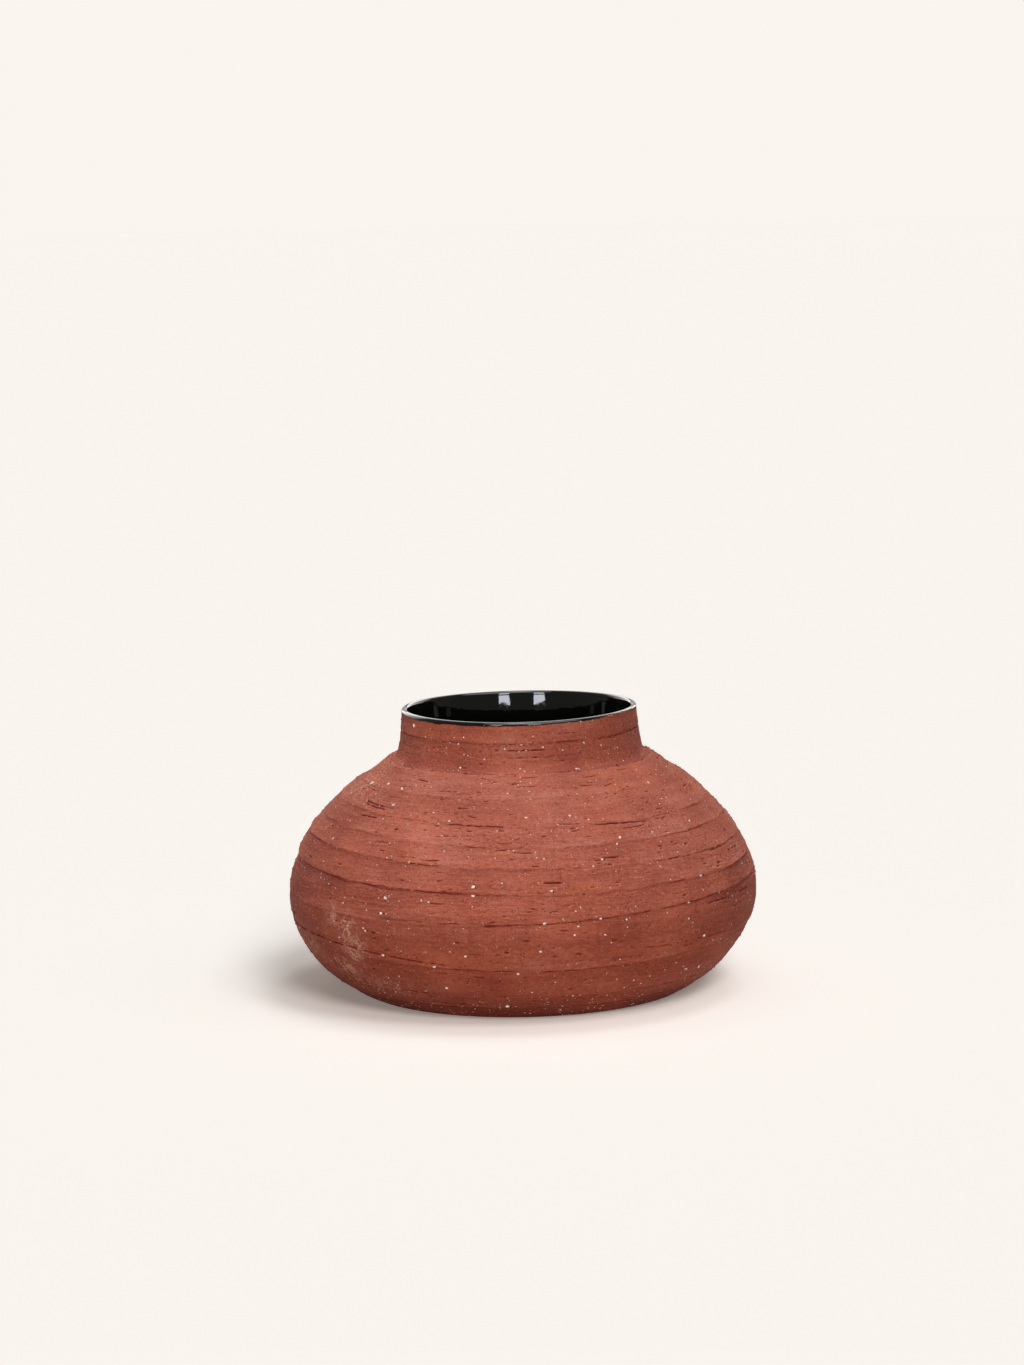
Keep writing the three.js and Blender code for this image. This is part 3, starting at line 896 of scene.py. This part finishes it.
BACKGROUND = colour(250, 245, 239)
CLAY_ORANGE = colour(206, 108, 76)
CLAY_PINK = colour(202, 117, 97)
CLAY_MIDDLE = colour(176, 87, 64)
CLAY_DARK = colour(140, 60, 44)
# Painted shade in the tears and open seams, strongest where they are cut deepest
HOLLOW_SHADE = colour(120, 34, 18)
CLAY_DUST = colour(226, 160, 134)
GROG_WHITE = colour(252, 244, 232)
GROG_DIM = colour(214, 158, 130)
# Painted shade of pits, on dark pebbles and specks
PIT_SHADE = colour(78, 26, 17)
GLAZE_BLACK = colour(7, 8, 4)
GLAZE_GREEN = colour(10, 12, 7)

CLAY_GLOSS = 0.1
GROG_ROUGHNESS = 0.85
GLAZE_IOR = 1.2

# Specks in the clay: colour, cells in a metre, share of them with a speck, radius of its full part
# and of its edge in cells, strength. The dark specks are painted shade of small pits.
SPECKS = [
    (PIT_SHADE, 700, 0.09, 0.18, 0.36, 0.8), (GROG_DIM, 560, 0.08, 0.14, 0.26, 0.8),
    (GROG_WHITE, 430, 0.03, 0.12, 0.22, 1.0),
]


class Nodes:
    """A tree of shader nodes, with short ways to add to it."""

    def __init__(self, tree):
        self.tree = tree

    def feed(self, socket, value):
        if isinstance(value, bpy.types.NodeSocket):
            self.tree.links.new(value, socket)
        else:
            socket.default_value = value

    def fill(self, node, inputs):
        for key, value in inputs.items():
            self.feed(node.inputs[key], value)

    def add(self, kind, inputs, output=0, **settings):
        node = self.tree.nodes.new("ShaderNode" + kind)
        for name, value in settings.items():
            setattr(node, name, value)
        self.fill(node, inputs)
        return node.outputs[output]

    def kept(self, name, output="Fac"):
        return self.add("Attribute", {}, output, attribute_name=name)

    def place(self):
        return self.add("TexCoord", {}, "Object")

    def stretched(self, vector, x, y, z):
        return self.add("VectorMath", {0: vector, 1: (x, y, z)}, operation="MULTIPLY")

    def noise(self, vector, scale, detail=2.0, roughness=0.5):
        inputs = {"Vector": vector, "Scale": scale, "Detail": detail, "Roughness": roughness}
        return self.add("TexNoise", inputs)

    def ranged(self, value, low, high, to_low=0.0, to_high=1.0):
        inputs = {"Value": value, "From Min": low, "From Max": high, "To Min": to_low, "To Max": to_high}
        return self.add("MapRange", inputs)

    def maths(self, operation, a, b=0.0, clamp=False):
        return self.add("Math", {0: a, 1: b}, operation=operation, use_clamp=clamp)

    def blend(self, share, a, b, kind="MIX"):
        return self.add("Mix", {0: share, 6: a, 7: b}, 2, data_type="RGBA", blend_type=kind)

    def specks(self, place, scale, share, low, high):
        """Small round specks in some of the cells of a lattice: 1 inside, 0 outside."""
        cell = self.add("TexVoronoi", {"Vector": place, "Scale": scale}).node
        chance = self.add("SeparateColor", {0: cell.outputs["Color"]})
        few = self.maths("LESS_THAN", chance, share)
        inside_speck = self.ranged(cell.outputs["Distance"], high, low)
        return self.maths("MULTIPLY", few, inside_speck)

    def either(self, *rays):
        """1 for any of those kinds of ray, else 0."""
        path = self.add("LightPath", {}).node
        total = path.outputs[rays[0]]
        for ray in rays[1:]:
            total = self.maths("MAXIMUM", total, path.outputs[ray])
        return total

    def bump(self, height, distance, normal=None):
        inputs = {"Height": height, "Distance": distance, "Strength": 1.0}
        if normal:
            inputs["Normal"] = normal
        return self.add("Bump", inputs)


class Look(Nodes):
    """A material with its own tree of nodes."""

    def __init__(self, name):
        self.material = bpy.data.materials.new(name)
        self.material.use_nodes = True
        super().__init__(self.material.node_tree)
        self.shader = self.tree.nodes["Principled BSDF"]
        self.output = self.tree.nodes["Material Output"]

    def made(self, inputs):
        """The material, once its shader's sockets are filled."""
        self.fill(self.shader, inputs)
        return self.material


def clay_look(name, deepen):
    """Coarse scraped clay. deepen from 0 to 1 makes it darker, as at the foot."""
    look = Look(name)
    place = look.place()
    face = look.kept("unrolled", "Vector")
    hollow = look.kept("hollow")
    patches = look.noise(place, 26, 3)
    streaks = look.noise(look.stretched(face, 45, 45, 420), 1, 4, 0.6)
    fine_streaks = look.noise(look.stretched(face, 180, 180, 1500), 1, 3, 0.6)
    crumbs = look.noise(look.stretched(face, 420, 420, 620), 1, 4, 0.7)
    grain = look.noise(place, 1500, 3, 0.7)
    height = look.add("SeparateXYZ", {0: place}, "Z")
    low_down = look.ranged(height, 0.055, 0.0)

    # The kept tone brings the painted light and shade of the seams, tears and patches
    tone_and_shade = look.add("Math", {0: look.kept("tone_and_shade"), 1: 0.3, 2: 0.5}, operation="MULTIPLY_ADD")
    parts = (patches, 0.9), (streaks, 0.5), (fine_streaks, 0.5), (crumbs, 1.3), (grain, 0.9)
    for value, weight in parts:
        shifted = look.maths("SUBTRACT", value, 0.5)
        tone_and_shade = look.maths("ADD", tone_and_shade, look.maths("MULTIPLY", shifted, weight))
    tone_and_shade = look.maths("SUBTRACT", tone_and_shade, look.maths("MULTIPLY", low_down, 0.37))
    tone_and_shade = look.maths("SUBTRACT", tone_and_shade, 0.2 * deepen, clamp=True)
    pale = look.blend(look.ranged(look.noise(place, 30, 4, 0.6), 0.4, 0.6), CLAY_ORANGE, CLAY_PINK)
    paint = look.blend(look.ranged(tone_and_shade, 0.0, 0.5), CLAY_DARK, CLAY_MIDDLE)
    paint = look.blend(look.ranged(tone_and_shade, 0.5, 1.0), paint, pale)

    folds = look.maths("ABSOLUTE", look.maths("SUBTRACT", look.noise(place, 130, 4, 0.7), 0.5))
    veins = look.ranged(folds, 0.05, 0.01, 0, 1.2)
    film = look.ranged(look.noise(place, 60, 3), 0.35, 0.65, 0.04, 0.18)
    flecks = look.specks(place, 600, 0.35, 0.14, 0.3)
    marks = look.maths("MAXIMUM", look.maths("MAXIMUM", veins, film), flecks)
    dust = look.maths("MULTIPLY", look.kept("dust"), marks, clamp=True)
    paint = look.blend(dust, paint, CLAY_DUST)
    for over, scale, share, full, edge, strength in SPECKS:
        speck = look.maths("MULTIPLY", look.specks(place, scale, share, full, edge), strength)
        paint = look.blend(speck, paint, over)
    # Painted shade in the tears and open seams
    paint = look.blend(hollow, paint, HOLLOW_SHADE)

    rough = look.maths("MAXIMUM", look.ranged(crumbs, 0.3, 0.7, 0.6, 0.72), hollow)
    bump = look.bump(streaks, 0.0008)
    for value, depth in ((fine_streaks, 0.0004), (crumbs, 0.0014), (grain, 0.0006)):
        bump = look.bump(value, depth, bump)
    return look.made({
        "Base Color": paint, "Roughness": rough, "Specular IOR Level": CLAY_GLOSS, "Normal": bump})


def glaze_look():
    """Glossy near-black glaze, which shows a little green where light gets into it."""
    look = Look("glaze")
    place = look.place()
    paint = look.blend(look.noise(place, 90, 3), GLAZE_BLACK, GLAZE_GREEN)
    rough = look.ranged(look.noise(place, 400, 2), 0.3, 0.7, 0.02, 0.06)
    bump = look.bump(look.noise(place, 120, 2), 0.00005)
    return look.made({"Base Color": paint, "Roughness": rough, "IOR": GLAZE_IOR, "Normal": bump})


def grog_look():
    """Fired clay grit, from white to stained by the clay, and dark pebbles that paint the shade of pits.
    """
    look = Look("grog")
    pale = look.kept("pale")
    paint = look.blend(look.ranged(pale, 0, 1), GROG_DIM, GROG_WHITE)
    # Pits get the painted shade colour
    paint = look.blend(look.ranged(pale, -0.5, -0.6), paint, PIT_SHADE)
    grit = look.noise(look.place(), 1500, 3)
    paint = look.blend(look.ranged(grit, 0.35, 0.75, 0, 0.22), paint, CLAY_MIDDLE)
    return look.made({
        "Base Color": paint, "Roughness": GROG_ROUGHNESS, "Specular IOR Level": CLAY_GLOSS,
        "Normal": look.bump(grit, 0.0002)})


# The vase

def finished(thing, material, node=None):
    """Give a piece its material, and say what it rides on and the node it replaces."""
    thing.data.materials.append(material)
    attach(thing, "root")
    if node:
        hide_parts(node)


clay = clay_look("clay", 0)
foot_clay = clay_look("foot_clay", 1)
finished(base_slab("base_slab_clay"), foot_clay, "base_slab")
body_coils = [f"body_coil_{number + 1}" for number in range(len(BODY_COILS))]
for number, node in enumerate([*body_coils, "neck_coil", "rim_coil"], 1):
    finished(coil(node + "_clay", number), clay, node)
lining = glaze_lining("glaze_coat")
finished(lining, glaze_look(), "glaze_lining")
finished(grog("grog_grains"), grog_look())


# The studio

# The photo's size and focal length in pixels, where its camera stands, a point in metres, the pixel
# that this point falls on, and the camera's roll
PHOTO_WIDTH, PHOTO_HEIGHT = 1024, 1365
FOCAL_PIXELS = 3935
CAMERA_PLACE = Vector((0, -2.168, 0.453))
AIM = Vector((0, 0, 0.08))
AIM_PIXEL = (521.5, 842.9)
CAMERA_ROLL = math.radians(1.12)
SENSOR = 36


def make_camera():
    """The photo's view: the aim point lands on its pixel, with a slight roll."""
    data = bpy.data.cameras.new("camera")
    data.sensor_width = SENSOR
    data.lens = FOCAL_PIXELS / PHOTO_HEIGHT * SENSOR
    data.clip_end = 200
    camera = new_object("camera", data)
    towards = (AIM - CAMERA_PLACE).to_track_quat("-Z", "Y").to_matrix()
    roll = Matrix.Rotation(-CAMERA_ROLL, 3, "Z")
    right = (AIM_PIXEL[0] - PHOTO_WIDTH / 2) / FOCAL_PIXELS
    down = (AIM_PIXEL[1] - PHOTO_HEIGHT / 2) / FOCAL_PIXELS
    seen = Vector((right, -down, -1)).normalized()
    swing = seen.rotation_difference(Vector((0, 0, -1))).to_matrix()
    camera.matrix_world = Matrix.Translation(CAMERA_PLACE) @ (towards @ roll @ swing).to_4x4()
    bpy.context.scene.camera = camera


def receivers(name, things):
    """The pieces that a light falls on. All pieces still cast its shadows."""
    group = bpy.data.collections.new(name)
    for thing in things:
        group.objects.link(thing)
    return group


def make_sun(name, azimuth, elevation, spread, light, group):
    """Broad even light from one side of the sky. A white face square to a light of 1 looks white."""
    data = bpy.data.lights.new(name, "SUN")
    data.energy = math.pi * light
    data.angle = math.radians(spread)
    lamp = new_object(name, data)
    a, e = math.radians(azimuth), math.radians(elevation)
    source = Vector((math.cos(a) * math.cos(e), math.sin(a) * math.cos(e), math.sin(e)))
    lamp.rotation_euler = source.to_track_quat("Z", "Y").to_euler()
    lamp.light_linking.receiver_collection = group
    return lamp


# The photo's shadow doesn't follow the light on the vase, so the floor has suns of its own.
# Suns: azimuth, elevation, spread, strength
VASE_LIGHTS = {"front": (-90, 12, 60, 0.84), "above": (-90, 88, 15, 0.68)}
FLOOR_LIGHTS = {
    "floor_low": (-75, 35, 20, 0.36),
    "floor_key": (-45, 55, 20, 0.19),
    "floor_wide": (-30, 65, 70, 0.14),
    "floor_right": (30, 75, 20, 0.12),
    "floor_back": (135, 65, 30, 0.035),
    "floor_sky": (0, 90, 120, 0.04),
}

# What the floor gets: its suns, with a small share on top for the world and light from the vase
FLOOR_EXTRA = 1.035
floor_light = FLOOR_EXTRA * sum(
    light * math.sin(math.radians(elevation)) for _, elevation, _, light in FLOOR_LIGHTS.values())

clay_pieces = [thing for thing in bpy.context.scene.objects if thing.type == "MESH" and thing != lining]
raw_clay = receivers("raw_clay", clay_pieces)
vase = receivers("vase", [*clay_pieces, lining])
for name, setting in VASE_LIGHTS.items():
    make_sun(name, *setting, vase).visible_glossy = name != "front"

# Lights that are only reflected: the sheen on the shoulder, and the highlights on the glazed lip
SHEEN = (-90, 86, 60, 4.4)
make_sun("sheen", *SHEEN, raw_clay).visible_diffuse = False
glazed = receivers("glazed", [lining])
LIP_LIGHTS = {
    "lip_left": (130, 14, 50, 0.8),
    "lip_right": (50, 14, 50, 0.8),
    "lip_back": (90, 45, 60, 1.1),
    "lip_top": (-70, 60, 70, 4.5),
}
for name, setting in LIP_LIGHTS.items():
    make_sun(name, *setting, glazed).visible_diffuse = False

WORLD_LIGHT = 0.02

# Two tall windows that only the glaze reflects: azimuth at the middle, elevation of the sill
WINDOWS = {"window_right": (-74.9, 6.85), "window_left": (-112, 6.9)}
WINDOW_AWAY = 3
WINDOW_SPREAD = math.radians(11.4)
WINDOW_TOP = 22
WINDOW_POWER = 110
WINDOW_COLOUR = (0.88, 0.9, 1.0)


def make_window(name, azimuth, sill, group):
    data = bpy.data.lights.new(name, "AREA")
    data.shape = "RECTANGLE"
    low, high = (WINDOW_AWAY * math.tan(math.radians(angle)) for angle in (sill, WINDOW_TOP))
    data.size = 2 * WINDOW_AWAY * math.tan(WINDOW_SPREAD / 2)
    data.size_y = high - low
    data.energy = WINDOW_POWER
    data.color = WINDOW_COLOUR
    lamp = new_object(name, data)
    a = math.radians(azimuth)
    mouth = LIP_HEIGHT * MM
    lamp.location = (WINDOW_AWAY * math.cos(a), WINDOW_AWAY * math.sin(a), mouth + (low + high) / 2)
    lamp.rotation_euler = (math.pi / 2, 0, a + math.pi / 2)
    lamp.visible_camera = False
    lamp.visible_diffuse = False
    lamp.light_linking.receiver_collection = group


for name, (azimuth, sill) in WINDOWS.items():
    make_window(name, azimuth, sill, glazed)


SEEN_RAYS = ("Is Camera Ray", "Is Glossy Ray", "Is Transmission Ray")


def make_world():
    """The background's colour where it is seen, and else a little light from all round."""
    world = bpy.data.worlds.new("studio")
    bpy.context.scene.world = world
    world.use_nodes = True
    sky = Nodes(world.node_tree)
    light = sky.tree.nodes["Background"]
    sky.fill(light, {"Color": (1, 1, 1, 1), "Strength": WORLD_LIGHT})
    shown = sky.add("Background", {"Color": BACKGROUND})
    mix = sky.add("MixShader", {0: sky.either(*SEEN_RAYS), 1: light.outputs[0], 2: shown})
    sky.fill(sky.tree.nodes["World Output"], {"Surface": mix})


# How much of the floor's brightness its suns give, in red, green and blue, and how much of the
# background's colour the floor has for the light that it sends on
SHADOW_SHARES = (0.78, 0.8, 0.81)
FLOOR_BOUNCE = 0.7
FLOOR_SIZE = 60


def make_floor():
    """A plain pale floor. Where no shadow falls, it looks the same as the background."""
    mesh = bpy.data.meshes.new("floor")
    half = FLOOR_SIZE / 2
    corners = [(-half, -half, 0), (half, -half, 0), (half, half, 0), (-half, half, 0)]
    mesh.from_pydata(corners, [], [(0, 1, 2, 3)])
    look = Look("floor")
    look.tree.nodes.remove(look.shader)
    shares = list(zip(BACKGROUND, SHADOW_SHARES))
    lit = look.add("BsdfDiffuse", {"Color": (*(c * share / floor_light for c, share in shares), 1)})
    glow = look.add("Emission", {"Color": (*(c * (1 - share) for c, share in shares), 1)})
    plain = look.add("BsdfDiffuse", {"Color": (*(c * FLOOR_BOUNCE for c in BACKGROUND[:3]), 1)})
    shown = look.add("AddShader", {0: lit, 1: glow})
    mix = look.add("MixShader", {0: look.either(*SEEN_RAYS), 1: plain, 2: shown})
    look.fill(look.output, {"Surface": mix})
    mesh.materials.append(look.material)
    floor = new_object("floor", mesh)
    group = receivers("floor", [floor])
    for name, setting in FLOOR_LIGHTS.items():
        make_sun(name, *setting, group)


make_camera()
make_world()
make_floor()
bpy.context.scene.view_settings.view_transform = "Standard"
